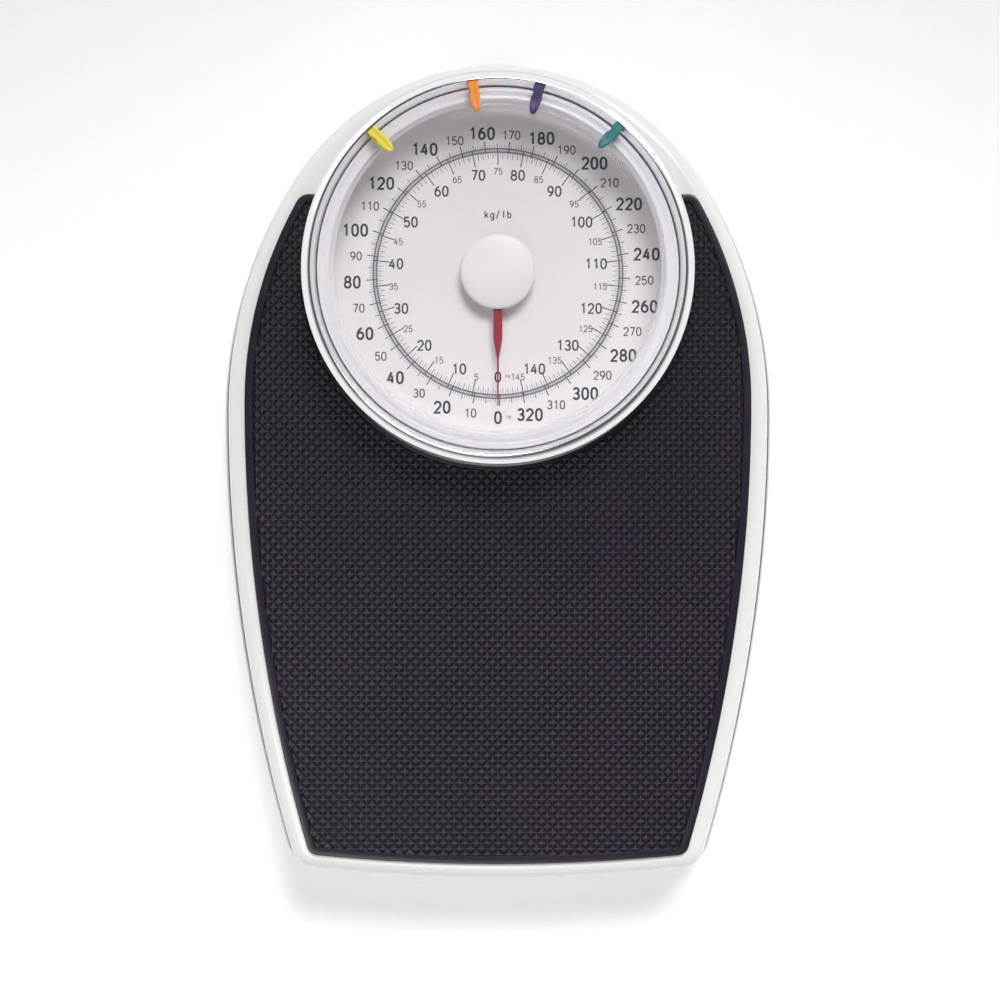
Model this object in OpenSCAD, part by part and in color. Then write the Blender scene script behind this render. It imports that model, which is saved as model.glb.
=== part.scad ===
// Mechanical dial platform scale: a lever-and-spring home scale with a round dial at its far end.
// Millimetres, +Z up, +Y towards the dial, origin at the centre of the footprint on the floor.

/* [Body] */
// Height of the platform's painted top
platform_z = 54; // [54:0.5:58]
// Thickness of the pressed steel
sheet = 1.2; // [1:0.1:1.3]
// Radius of the platform's rolled edge
edge_roll = 9; // [7:0.5:10]
// Thickness of the rubber mat
mat_t = 2; // [1.5:0.1:3]
// Height of the rubber feet
foot_h = 6; // [5.5:0.1:6.5]

/* [Dial] */
// Distance of the dial's centre from the body's centre
dial_y = 105.5; // [105:0.1:106]
// Outer radius of the chrome ring
ring_r = 102.3; // [101.5:0.1:103]
// Radius of the printed dial disc
face_r = 91.5; // [90:0.1:91.6]
// Angle the pointer sweeps from empty to full load
dial_sweep = 355; // [300:1:355]

/* [Mechanism] */
// Travel of the lever noses from empty to full load
nose_travel = 10; // [8:0.5:10]
// Distance from a long lever's fulcrum to its nose
long_arm = 375; // [375:1:376]
// Distance from each fulcrum to its load pin
load_arm = 28; // [26:1:30]
// Length of the bell crank's input arm
crank_in = 14; // [13.5:0.5:14]
// Module of the pinion's teeth
tooth_module = 0.5; // [0.48:0.01:0.5]
// Number of pinion teeth
pinion_teeth = 12; // [12:1:12]

/* [Hidden] */
fine = 96;

white_paint = [0.93, 0.93, 0.91];
zinc = [0.72, 0.73, 0.72];
brass = [0.78, 0.65, 0.35];
steel = [0.6, 0.61, 0.62];
rubber = [0.16, 0.14, 0.17];

// Body outline: arcs that meet as tangents
half_w = 151.3;
wide_y = 32.4;
top_r = 133.3;
shoulder_r = 240.3;
side_r = 838;
foot_r = 877;
corner_r = 19;
body_half_len = 225;

// Mat outline
mat_half_w = 135.35;
mat_wide_y = 36.8;
mat_shoulder_r = 221.4;
mat_side_r = 856.9;
mat_foot_r = 985;
mat_foot_y = -209.6;
mat_top_y = 148.2;
mat_corner_r = 6.5;

floor_z = foot_h + sheet;
pan_rim_z = 22;
skirt_gap = 2.3;
skirt_z = 14;
under_z = platform_z - sheet;

// Levers
long_y = -185;
short_y = 150;
pivot_z = 22;
short_arm = (short_y - long_y) / 2;
rest_tilt = asin(nose_travel / 2 / long_arm);
hook_y = short_y - short_arm;
corner_x = 96;
nose_x = 17;
hook_x = corner_x - (corner_x - nose_x) * short_arm / long_arm;
pin_r = 2;
lever_h = 10;
lever_w = 8;
lever_t = 1.6;

// Calibration plate, crank and rack
crank_half = asin(nose_travel / 2 / crank_in);
crank_y = 176;
nose_z = pivot_z + nose_travel / 2;
plate_top = nose_z - 1.7;
plate_t = 2.5;
pitch_r = tooth_module * pinion_teeth / 2;
rack_travel = dial_sweep * PI / 180 * pitch_r;
crank_out = rack_travel / 2 / tan(crank_half);
rack_z = pivot_z + crank_out;
rack_pin_y = crank_y - rack_travel / 2;
rack_x = -pitch_r - 4.15;

// Main spring and adjuster
spring_y = 203;
coil_r = 8;
wire_r = 0.9;
tower_z = 50;
anchor_z = 40.9;
wheel_r = 21;
wheel_z = 7.8;

// Dial heights
ring_wide_z = platform_z + 25;
lens_z = platform_z + 22;
face_z = platform_z + 2.9;
pointer_z = face_z + 6;

function arc(cx, cy, r, a0, a1, n) = [
  for (i = [0 : n]) [cx + r * cos(a0 + (a1 - a0) * i / n), cy + r * sin(a0 + (a1 - a0) * i / n)]
];

body_side = [half_w - side_r, wide_y];
body_foot_cy = foot_r - body_half_len;
mat_side = [mat_half_w - mat_side_r, mat_wide_y];
mat_foot_cy = mat_foot_y + mat_foot_r;

function lower_corner(side, r1, fy, r2, cr) =
  let (d = norm([side[0], side[1] - fy]), a = r1 - cr, b = r2 - cr)
  let (t = (a * a - b * b + d * d) / (2 * d), h = sqrt(max(a * a - t * t, 0)))
  let (u = [-side[0] / d, (fy - side[1]) / d])
  let (p = [side[0] + t * u[0] + h * u[1], side[1] + t * u[1] - h * u[0]])
  let (q = [side[0] + t * u[0] - h * u[1], side[1] + t * u[1] + h * u[0]])
  p[1] < q[1] ? p : q;

// Right half of the body outline, from the foot's middle round to the dial end, grown by g
function body_half(g) =
  let (c = lower_corner(body_side, side_r, body_foot_cy, foot_r, corner_r))
  let (foot_a = atan2(c[1] - body_foot_cy, c[0]), side_a = atan2(c[1] - wide_y, c[0] - body_side[0]))
  let (tan_a = acos((half_w - shoulder_r) / (top_r - shoulder_r)))
  concat(
    arc(0, body_foot_cy, foot_r + g, -90, foot_a, 7),
    arc(c[0], c[1], corner_r + g, foot_a + 8, side_a - 7, 8),
    arc(body_side[0], body_side[1], side_r + g, side_a, 0, 13),
    arc(half_w - shoulder_r, wide_y, shoulder_r + g, tan_a / 14, tan_a, 13),
    arc(0, body_half_len - top_r, top_r + g, tan_a + 3.5, 90, 15)
  );

function mirrored(half) = concat(half, [for (i = [len(half) - 2 : -1 : 1]) [-half[i][0], half[i][1]]]);
function body_outline(g) = mirrored(body_half(g));

function mat_half(g) =
  let (c = lower_corner(mat_side, mat_side_r, mat_foot_cy, mat_foot_r, mat_corner_r))
  let (foot_a = atan2(c[1] - mat_foot_cy, c[0]), side_a = atan2(c[1] - mat_wide_y, c[0] - mat_side[0]))
  let (sx = mat_half_w - mat_shoulder_r, tr = 7.5, ty = mat_top_y - tr)
  let (end_a = asin((ty - mat_wide_y) / (mat_shoulder_r - tr)))
  let (tx = sx + (mat_shoulder_r - tr) * cos(end_a))
  concat(
    arc(0, mat_foot_cy, mat_foot_r + g, -90, foot_a, 7),
    arc(c[0], c[1], mat_corner_r + g, foot_a + 10, side_a - 9, 6),
    arc(mat_side[0], mat_side[1], mat_side_r + g, side_a, 0, 13),
    arc(sx, mat_wide_y, mat_shoulder_r + g, end_a / 12, end_a, 11),
    arc(tx, ty, tr + g, end_a + 10, 90, 5)
  );

module mat_shape(g) {
  half = mat_half(g);
  polygon(concat(half, [for (i = [len(half) - 1 : -1 : 1]) [-half[i][0], half[i][1]]]));
}

// A ring that follows the body outline: profile is a list of [grow, z] points, counter-clockwise
module swept_rim(profile) {
  rows = [for (p = profile) [for (q = body_outline(p[0])) [q[0], q[1], p[1]]]];
  n = len(rows[0]);
  m = len(profile);
  pts = [for (row = rows) for (q = row) q];
  faces = [
    for (i = [0 : m - 1]) for (j = [0 : n - 1])
      each [
        [i * n + j, ((i + 1) % m) * n + j, ((i + 1) % m) * n + (j + 1) % n],
        [i * n + j, ((i + 1) % m) * n + (j + 1) % n, i * n + (j + 1) % n]
      ]
  ];
  polyhedron(points = pts, faces = faces);
}

module disc_at(x, y, z, r, h) {
  translate([x, y, z]) cylinder(r = r, h = h, $fn = fine);
}

module pin_x(x0, x1, y, z, r) {
  translate([x0, y, z]) rotate([0, 90, 0]) cylinder(r = r, h = x1 - x0, $fn = 48);
}

module box_from(a, b) {
  translate(a) cube(b - a);
}

// Round wire wound about Z from z = 0, rising by pitch each turn
module coil(r, wire, pitch, turns, steps, sides) {
  n = turns * steps;
  tilt = atan2(pitch, 2 * PI * r);
  pts = [
    for (i = [0 : n]) for (k = [0 : sides - 1])
      let (a = 360 * i / steps, b = 360 * k / sides, rr = r + wire * cos(b), u = wire * sin(b))
      [rr * cos(a) + u * sin(tilt) * sin(a), rr * sin(a) - u * sin(tilt) * cos(a),
       pitch * i / steps + u * cos(tilt)]
  ];
  faces = concat(
    [[for (k = [0 : sides - 1]) k]],
    [for (i = [0 : n - 1]) for (k = [0 : sides - 1]) each [
      [i * sides + k, (i + 1) * sides + k, (i + 1) * sides + (k + 1) % sides],
      [i * sides + k, (i + 1) * sides + (k + 1) % sides, i * sides + (k + 1) % sides]]],
    [[for (k = [sides - 1 : -1 : 0]) n * sides + k]]
  );
  polyhedron(points = pts, faces = faces);
}

// Base

module base_pan() {
  roll = 6.8;
  outer = [for (i = [0 : 5]) let (a = 270 + 18 * i) [-roll - sheet + (roll + sheet) * cos(a),
    foot_h + roll + sheet + (roll + sheet) * sin(a)]];
  inner = [for (i = [5 : -1 : 0]) let (a = 270 + 18 * i) [-roll - sheet + roll * cos(a),
    foot_h + roll + sheet + roll * sin(a)]];
  rim = [[0, pan_rim_z - 0.6], [-0.35, pan_rim_z], [-sheet + 0.35, pan_rim_z], [-sheet, pan_rim_z - 0.6]];
  color(white_paint) difference() {
    union() {
      swept_rim(concat(outer, rim, inner));
      translate([0, 0, foot_h]) linear_extrude(sheet) polygon(body_outline(-roll - sheet + 0.01));
    }
    for (s = [-1, 1]) for (p = [[corner_x, long_y - 14], [92, 128]])
      disc_at(s * p[0], p[1], foot_h - 1, 2.6, sheet + 2);
    box_from([-17, 214, wheel_z - 0.9], [17, 226, wheel_z + 5.6]);
  }
}

module rubber_feet() {
  color(rubber) for (s = [-1, 1]) for (p = [[corner_x, long_y - 14], [92, 128]])
    translate([s * p[0], p[1], 0]) difference() {
      rotate_extrude($fn = fine)
        polygon([[0, 0], [11, 0], [12, 1], [13, foot_h - 0.8], [12.4, foot_h - 0.02], [0, foot_h - 0.02]]);
      translate([0, 0, -1]) cylinder(r = 6, h = 3, $fn = 48);
      translate([0, 0, -1]) cylinder(r = 2.6, h = foot_h + 2, $fn = 48);
    }
}

module foot_rivets() {
  color(zinc) for (s = [-1, 1]) for (p = [[corner_x, long_y - 14], [92, 128]])
    translate([s * p[0], p[1], 0]) {
      translate([0, 0, 1.2]) cylinder(r = 2.45, h = floor_z - 1.1, $fn = 48);
      translate([0, 0, 0.9]) cylinder(r1 = 3.6, r2 = 4.2, h = 1, $fn = 48);
      translate([0, 0, floor_z + 0.05]) cylinder(r1 = 4.5, r2 = 3, h = 1, $fn = 48);
    }
}

// One stirrup that holds a lever's fulcrum pin from below, at the origin on the pan's floor
module stirrup() {
  gap = lever_w / 2 + 2.3;
  difference() {
    union() {
      box_from([-gap - 1.6, -16, 0], [gap + 1.6, 9, 1.6]);
      for (s = [-1, 1]) translate([s > 0 ? gap : -gap - 1.6, 0, 0]) rotate([90, 0, 90]) linear_extrude(1.6)
        polygon([[-9, 0], [9, 0], [9, 9], [5.5, 18.5], [-5.5, 18.5], [-9, 9]]);
    }
    translate([0, 0, pivot_z - floor_z]) rotate([0, 90, 0]) cylinder(r = pin_r + 0.3, h = 40, center = true, $fn = 48);
    translate([-20, -pin_r - 0.3, pivot_z - floor_z]) cube([40, 2 * pin_r + 0.6, 10]);
  }
}

module fulcrum_brackets() {
  color(zinc) for (s = [-1, 1]) {
    for (y = [long_y, short_y]) translate([s * corner_x, y, floor_z + 0.03]) rotate([0, 0, 180]) stirrup();
  }
}

module flat_rivet(z0, grip, r) {
  translate([0, 0, z0]) cylinder(r = r, h = grip, $fn = 48);
  translate([0, 0, z0 + grip]) cylinder(r1 = r * 2, r2 = r * 1.3, h = r * 0.6, $fn = 48);
}

module bracket_rivets() {
  color(steel) for (s = [-1, 1]) {
    for (y = [long_y, short_y]) translate([s * corner_x, y + 11.5, floor_z]) flat_rivet(1.66, 0.4, 1.6);
  }
}

module spring_tower() {
  color(zinc) difference() {
    union() {
      for (s = [-1, 1]) {
        box_from([s > 0 ? 26 : -28, 196, floor_z + 0.03], [s > 0 ? 28 : -26, 210, tower_z]);
        box_from([s > 0 ? 26 : -38, 196, floor_z + 0.03], [s > 0 ? 38 : -26, 210, floor_z + 2]);
      }
      box_from([-28, 196, tower_z - 2], [28, 210, tower_z]);
    }
    disc_at(0, spring_y, tower_z - 4, 3, 6);
  }
}

module tower_screws() {
  color(steel) for (s = [-1, 1]) translate([s * 33, 203, floor_z + 2.03]) difference() {
    rotate_extrude($fn = 48) polygon([[0, 0], [3.2, 0], [3.2, 0.8], [2.2, 1.9], [0, 2.1]]);
    translate([-4, -0.4, 1.1]) cube([8, 0.8, 2]);
  }
}

module crank_bracket() {
  color(zinc) difference() {
    union() {
      for (x = [-11.6, -3.6]) translate([x, 0, 0]) rotate([90, 0, 90]) linear_extrude(1.5)
        polygon([[168, floor_z + 0.03], [180, floor_z + 0.03], [180, 23], [178, 25.5], [174, 25.5], [172, 23]]);
      box_from([-11.6, 162, floor_z + 0.03], [-2.1, 180, floor_z + 1.5]);
    }
    pin_x(-20, 4, crank_y, pivot_z, 1.53);
    disc_at(-6.85, 166, 0, 1.2, 20);
  }
}

module crank_pin() {
  color(steel) {
    pin_x(-12.4, -1.3, crank_y, pivot_z, 1.5);
    pin_x(-13.2, -11.7, crank_y, pivot_z, 2.4);
    pin_x(-2, -1, crank_y, pivot_z, 2.4);
  }
}

module movement_bridge() {
  color(zinc) difference() {
    union() {
      box_from([-15, 62, 38], [15, 160, 39.5]);
      for (y = [62, 158.5]) box_from([-9, y, floor_z + 0.03], [9, y + 1.5, 39.5]);
      box_from([-9, 50, floor_z + 0.03], [9, 63.5, floor_z + 1.5]);
      box_from([-9, 148, floor_z + 0.03], [9, 160, floor_z + 1.5]);
      box_from([-15, 156, 38], [-10, 157.5, 50]);
    }
    disc_at(0, dial_y, 30, 4, 20);
    for (x = [10.5]) for (y = [dial_y - 18, dial_y + 18]) disc_at(x, y, 30, 1.2, 20);
    translate([-12.5, 160, rack_z]) rotate([90, 0, 0]) cylinder(r = 0.6, h = 10, $fn = 48);
  }
}

module bridge_screws() {
  color(steel) for (y = [56, 152]) for (x = [-5, 5]) translate([x, y, floor_z + 1.53]) difference() {
    rotate_extrude($fn = 48) polygon([[0, 0], [2.6, 0], [2.6, 0.7], [1.6, 1.6], [0, 1.8]]);
    translate([-3, -0.3, 1]) cube([6, 0.6, 2]);
  }
}

module rack_guides() {
  color(brass) for (y = [dial_y - 7.9, dial_y + 5.3]) difference() {
    box_from([rack_x - 4.2, y, 39.53], [rack_x + 5.6, y + 4, rack_z + 3.4]);
    box_from([rack_x - 2.6, y - 1, rack_z - 1.8], [rack_x + 5, y + 5, rack_z + 1.8]);
  }
}

module spindle_cock() {
  color(brass) difference() {
    union() {
      box_from([7.5, dial_y - 22, 39.53], [13.5, dial_y + 22, 41]);
      for (y = [dial_y - 12, dial_y + 10.5]) box_from([7.5, y, 39.53], [13.5, y + 1.5, 52.5]);
      box_from([7.5, dial_y - 12, 51], [13.5, dial_y + 12, 52.5]);
      box_from([-2, dial_y - 5, 51], [8, dial_y + 5, 52.5]);
      disc_at(0, dial_y, 51, 5, 1.5);
    }
    disc_at(0, dial_y, 48, 2.5, 8);
    for (y = [dial_y - 18, dial_y + 18]) disc_at(10.5, y, 30, 1.2, 20);
  }
}

module spindle_bushes() {
  color(brass) difference() {
    union() {
      disc_at(0, dial_y, 37, 3.95, 2.5);
      disc_at(0, dial_y, 36.2, 5.5, 1.75);
      disc_at(0, dial_y, 51, 2.45, 1.5);
      disc_at(0, dial_y, 52.53, 3.8, 1);
      disc_at(0, dial_y, 52.4, 2.45, 0.5);
    }
    disc_at(0, dial_y, 30, 1.55, 30);
  }
}

// Platform

module platform_cover() {
  r = edge_roll;
  top = platform_z;
  outer = [for (i = [0 : 9]) let (a = 10 * i) [-skirt_gap - 0.9 - r + r * cos(a), top - r + r * sin(a)]];
  inner = [for (i = [9 : -1 : 0]) let (a = 10 * i)
    [-skirt_gap - 0.9 - r + (r - sheet) * cos(a), top - r + (r - sheet) * sin(a)]];
  foot = [[-skirt_gap - sheet, skirt_z], [-skirt_gap, skirt_z]];
  color(white_paint) difference() {
    union() {
      swept_rim(concat(foot, outer, inner));
      translate([0, 0, top - sheet]) linear_extrude(sheet)
        polygon(body_outline(-skirt_gap - 0.9 - r + 0.01));
    }
    disc_at(0, dial_y, top - 10, 62, 20);
    for (a = [45 : 90 : 315])
      translate([0, dial_y, 0]) rotate([0, 0, a]) translate([74, 0, top - 5]) cylinder(r = 2.1, h = 10, $fn = 48);
  }
}

module platform_mat() {
  color(rubber) translate([0, 0, platform_z + 0.02]) linear_extrude(mat_t) difference() {
    mat_shape(0);
    translate([0, dial_y]) circle(r = ring_r + 0.4, $fn = fine);
  }
}

load_points = [[corner_x - (corner_x - nose_x) * load_arm / long_arm, long_y + load_arm],
  [corner_x - (corner_x - hook_x) * load_arm / short_arm, short_y - load_arm]];
load_pin_z = pivot_z + load_arm * tan(rest_tilt);

// A hanger under the cover that rests on a lever's load pin
module hanger() {
  gap = lever_w / 2 + 1.8;
  difference() {
    union() {
      box_from([-gap - 2, -10, under_z - 2.03], [gap + 2, 10, under_z - 0.03]);
      for (s = [-1, 1]) translate([s > 0 ? gap : -gap - 2, 0, 0]) rotate([90, 0, 90]) linear_extrude(2)
        polygon([[-10, under_z - 1], [-10, under_z - 9], [-5, load_pin_z - 1], [5, load_pin_z - 1],
          [10, under_z - 9], [10, under_z - 1]]);
    }
    translate([0, 0, load_pin_z]) rotate([0, 90, 0]) cylinder(r = pin_r + 0.3, h = 40, center = true, $fn = 48);
    translate([-20, -pin_r - 0.3, load_pin_z - 5]) cube([40, 2 * pin_r + 0.6, 5]);
  }
}

module load_hangers() {
  color(zinc) for (s = [-1, 1]) for (p = load_points) translate([s * p[0], p[1], 0]) hanger();
}

module hanger_rivets() {
  color(steel) for (s = [-1, 1]) for (p = load_points) for (y = [-6, 6])
    translate([s * p[0], p[1] + y, under_z - 3.2]) cylinder(r1 = 1.9, r2 = 2.8, h = 1.1, $fn = 48);
}

module dial_housing() {
  z = platform_z + 0.03;
  color([0.9, 0.9, 0.89]) translate([0, dial_y, 0]) difference() {
    rotate_extrude($fn = fine) polygon([[62, z], [99, z], [99, z + 1.5], [94.4, z + 1.5], [94.4, lens_z - 0.1],
      [88.6, lens_z - 0.1], [88.6, lens_z - 1.6], [92, lens_z - 1.6], [92, z + 1.8], [62, z + 1.8]]);
    for (a = [45 : 90 : 315]) rotate([0, 0, a]) translate([74, 0, platform_z - 5]) cylinder(r = 2.1, h = 10, $fn = 48);
  }
}

module housing_screws() {
  color(steel) translate([0, dial_y, 0]) for (a = [45 : 90 : 315]) rotate([0, 0, a]) translate([74, 0, 0])
    difference() {
      union() {
        translate([0, 0, platform_z - 4]) cylinder(r = 1.95, h = 5.6, $fn = 48);
        translate([0, 0, platform_z - 3.6]) cylinder(r = 4, h = 2.3, $fn = 6);
      }
      translate([-5, -0.4, platform_z - 4.5]) cube([10, 0.8, 1]);
    }
}

module dial_face() {
  color([0.86, 0.84, 0.84]) translate([0, dial_y, 0]) difference() {
    translate([0, 0, face_z - 1]) cylinder(r = face_r, h = 1, $fn = fine);
    translate([0, 0, face_z - 3]) cylinder(r = 4, h = 6, $fn = 48);
  }
}

// Rounded ring section: a tube bent over a crown, open below
module chrome_bezel() {
  crown = 3.7;
  wall = 1.3;
  cx = ring_r - crown;
  outer = [for (i = [0 : 12]) let (a = -10 + 14 * i) [cx + crown * cos(a), ring_wide_z + crown * sin(a)]];
  inner = [for (i = [12 : -1 : 0]) let (a = -10 + 14 * i)
    [cx + (crown - wall) * cos(a), ring_wide_z + (crown - wall) * sin(a)]];
  color([0.85, 0.85, 0.86]) translate([0, dial_y, 0]) rotate_extrude($fn = fine)
    polygon(concat([[99.2, platform_z + 0.03], [100.6, platform_z + 0.03], [100.9, platform_z + 4]],
      outer, [[94.9, lens_z + 1.8], [94.9, lens_z - 1.5], [96.1, lens_z - 1.5], [96.1, lens_z + 2.2]],
      inner, [[99.6, platform_z + 4]]));
}

module dial_lens() {
  z = lens_z;
  color([0.8, 0.85, 0.9, 0.35]) translate([0, dial_y, 0]) rotate_extrude($fn = fine)
    polygon([[0, z + 10.2], [50, z + 9.9], [76, z + 9.2], [82.3, z + 8.2], [84.4, z + 6.4], [85.6, z + 0.03], [94, z + 0.03],
      [94, z + 2.2], [87.9, z + 2.2], [86.8, z + 7.2], [83.6, z + 10.6], [76, z + 11.4], [50, z + 12.2], [0, z + 12.5]]);
}

// Levers: inverted channels that taper in plan towards the nose, tilted at rest

module lever_frame(side, x, y, dir) {
  translate([side * x, y, pivot_z]) rotate([dir * rest_tilt, 0, 0]) children();
}

// Plan of a channel from the fulcrum's far side to its end, sheared sideways by slope
module lever_plan(y0, y1, w, slope) {
  polygon([[-w - slope * y0, y0], [w - slope * y0, y0], [w - slope * y1, y1], [-w - slope * y1, y1]]);
}

long_slope = (corner_x - nose_x) / long_arm;
short_slope = (corner_x - hook_x) / short_arm;

module long_lever(side) {
  slope = side * long_slope;
  lever_frame(side, corner_x, long_y, 1) difference() {
    union() {
      difference() {
        translate([0, 0, -lever_h / 2]) linear_extrude(lever_h) lever_plan(-8, long_arm - 6, lever_w / 2, slope);
        translate([0, 0, -lever_h]) linear_extrude(1.5 * lever_h - lever_t)
          lever_plan(-9, long_arm - 8, lever_w / 2 - lever_t, slope);
      }
      translate([0, 0, -1.5]) linear_extrude(3) lever_plan(long_arm - 9, long_arm + 4, 2, slope);
    }
    for (y = [0, load_arm]) translate([-slope * y, y, 0]) rotate([0, 90, 0])
      cylinder(r = pin_r + 0.04, h = 60, center = true, $fn = 48);
    translate([-slope * long_arm, long_arm, 0]) rotate([0, 90, 0]) cylinder(r = 1.04, h = 30, center = true, $fn = 48);
  }
}

module long_pins(side) {
  slope = side * long_slope;
  lever_frame(side, corner_x, long_y, 1) {
    for (y = [0, load_arm]) translate([-slope * y, y, 0]) rotate([0, 90, 0])
      cylinder(r = pin_r, h = 2 * (lever_w / 2 + 4.6), center = true, $fn = 48);
    translate([-slope * long_arm, long_arm, 0]) rotate([0, 90, 0]) {
      cylinder(r = 1, h = 11, center = true, $fn = 48);
      for (s = [-1, 1]) translate([0, 0, s * 4]) cylinder(r = 1.5, h = 3, center = true, $fn = 48);
    }
  }
}

module short_lever(side) {
  slope = -side * short_slope;
  lever_frame(side, corner_x, short_y, -1) difference() {
    union() {
      difference() {
        translate([0, 0, -lever_h / 2]) linear_extrude(lever_h)
          lever_plan(-short_arm + 25, 8, lever_w / 2, slope);
        translate([0, 0, -lever_h]) linear_extrude(1.5 * lever_h - lever_t)
          lever_plan(-short_arm + 27, 9, lever_w / 2 - lever_t, slope);
      }
      translate([slope * short_arm, -short_arm, 0]) rotate([0, 0, atan(slope)]) rotate([90, 0, 90])
        translate([0, 0, -3]) linear_extrude(6) polygon([[34, 3.7], [34, 4.7], [26.2, 4.7], [20, 7.3],
          [-3, 7.3], [-3, 5.75], [18.5, 5.75], [24.6, 3.7]]);
    }
    for (y = [0, -load_arm]) translate([-slope * y, y, 0]) rotate([0, 90, 0])
      cylinder(r = pin_r + 0.04, h = 60, center = true, $fn = 48);
  }
}

module short_pins(side) {
  slope = -side * short_slope;
  lever_frame(side, corner_x, short_y, -1)
    for (y = [0, -load_arm]) translate([-slope * y, y, 0]) rotate([0, 90, 0])
      cylinder(r = pin_r, h = 2 * (lever_w / 2 + 4.6), center = true, $fn = 48);
}

// Movement

module calibration_plate() {
  color(zinc) difference() {
    union() {
      box_from([-24, 185.5, plate_top - plate_t], [24, 212, plate_top]);
      for (s = [-1, 1]) box_from([s > 0 ? 22.5 : -24, 185.5, plate_top - 0.5], [s > 0 ? 24 : -22.5, 212, plate_top + 4]);
    }
    disc_at(0, spring_y, 0, 3.6, 60);
    for (s = [-1, 1]) disc_at(s * 15, 205, 0, 2, 60);
  }
}

module lower_spring_plug() {
  color(steel) difference() {
    union() {
      disc_at(0, spring_y, plate_top + 0.03, 7, 5.5);
      disc_at(0, spring_y, plate_top + 0.03, 9, 0.8);
    }
    disc_at(0, spring_y, 0, 3.6, 60);
  }
}

module main_spring() {
  height = anchor_z + 4.4 - (plate_top + 1.8);
  turns = 8;
  color(steel) translate([0, spring_y, plate_top + 1.8]) coil(coil_r, wire_r, height / turns, turns, 24, 8);
}

module spring_anchor() {
  color(steel) difference() {
    union() {
      disc_at(0, spring_y, anchor_z - 1, 7, 5.6);
      disc_at(0, spring_y, anchor_z + 5.4, 9, 0.4);
      disc_at(0, spring_y, anchor_z + 4.2, 7, 1.5);
    }
    disc_at(0, spring_y, 0, 2.55, 60);
  }
}

module adjusting_screw() {
  color(steel) {
    disc_at(0, spring_y, wheel_z - 0.5, 2.5, tower_z - wheel_z + 1.6);
    disc_at(0, spring_y, tower_z + 0.05, 4.5, 0.9);
  }
}

module zero_wheel() {
  color([0.2, 0.2, 0.22]) translate([0, spring_y, wheel_z]) difference() {
    union() {
      cylinder(r = wheel_r - 0.6, h = 4, $fn = fine);
      for (i = [0 : 47]) rotate([0, 0, i * 7.5]) translate([wheel_r - 1.1, -0.6, 0]) cube([1.1, 1.2, 4]);
    }
    translate([0, 0, -1]) cylinder(r = 2.55, h = 8, $fn = 48);
    translate([0, 0, 3]) difference() {
      cylinder(r = 17, h = 2, $fn = fine);
      translate([0, 0, -1]) cylinder(r = 6, h = 4, $fn = 48);
    }
  }
}

module bell_crank() {
  color(brass) translate([rack_x + 0.15, crank_y, pivot_z]) rotate([crank_half, 0, 0])
    rotate([90, 0, 90]) translate([0, 0, -1]) linear_extrude(2) difference() {
      union() {
        circle(r = 4.2, $fn = 48);
        polygon([[-3.2, 0], [3.2, 0], [3.2, crank_out + 3.4], [-3.2, crank_out + 3.4]]);
        polygon([[0, -3], [9.2, 0.2], [crank_in - 0.6, 0.2], [crank_in, -0.6], [crank_in, 1.4], [8, 2.8], [0, 3]]);
        translate([crank_in, 0]) circle(r = 1.5, $fn = 48);
      }
      circle(r = 1.56, $fn = 48);
      translate([-1.7, crank_out - 2.6]) square([3.4, 8]);
    }
}

module rack() {
  pitch = tooth_module * PI;
  y0 = dial_y - rack_travel - 4;
  first = ceil((y0 - dial_y) / pitch);
  count = ceil((rack_travel + 7) / pitch);
  tip = -pitch_r + tooth_module * 0.9;
  root = -pitch_r - tooth_module * 1.25;
  color(steel) {
    difference() {
      union() {
        box_from([rack_x - 2.3, y0 - 3, rack_z - 1.5], [root + 0.01, 158, rack_z + 1.5]);
        box_from([rack_x - 2.3, 152, rack_z - 1.5], [rack_x + 2.6, rack_pin_y + 3, rack_z + 1.5]);
        box_from([-14, 116, rack_z - 1.5], [rack_x - 2, 119, rack_z + 1.5]);
        for (i = [0 : count - 1]) translate([0, dial_y + (first + i) * pitch, rack_z - 1.5]) linear_extrude(3)
          polygon([[root, -pitch * 0.36], [tip, -pitch * 0.11], [tip, pitch * 0.11], [root, pitch * 0.36]]);
      }
      box_from([rack_x - 1.15, 160.5, rack_z - 4], [rack_x + 1.45, 200, rack_z + 4]);
      pin_x(-20, 10, rack_pin_y, rack_z, 1.24);
      translate([-12.5, 125, rack_z]) rotate([90, 0, 0]) cylinder(r = 0.6, h = 20, $fn = 48);
    }
  }
}

module rack_pin() {
  color(steel) pin_x(rack_x - 2.6, rack_x + 2.9, rack_pin_y, rack_z, 1.2);
}

// Wire along a path of [x, y, z, angle] points; angle turns the section about Z
module wire_path(path, wire, sides) {
  n = len(path);
  pts = [
    for (i = [0 : n - 1])
      let (p = path[i], a = path[max(i - 1, 0)], b = path[min(i + 1, n - 1)])
      let (d = [b[0] - a[0], b[1] - a[1], b[2] - a[2]], t = d / norm(d))
      let (e = [cos(p[3]), sin(p[3]), 0], u0 = e - (e * t) * t, u = u0 / norm(u0), v = cross(t, u))
      for (k = [0 : sides - 1]) let (w = 360 * k / sides)
        [p[0], p[1], p[2]] + wire * cos(w) * u + wire * sin(w) * v
  ];
  faces = concat(
    [[for (k = [0 : sides - 1]) k]],
    [for (i = [0 : n - 2]) for (k = [0 : sides - 1]) each [
      [i * sides + k, (i + 1) * sides + k, (i + 1) * sides + (k + 1) % sides],
      [i * sides + k, (i + 1) * sides + (k + 1) % sides, i * sides + (k + 1) % sides]]],
    [[for (k = [sides - 1 : -1 : 0]) (n - 1) * sides + k]]
  );
  polyhedron(points = pts, faces = faces);
}

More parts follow.
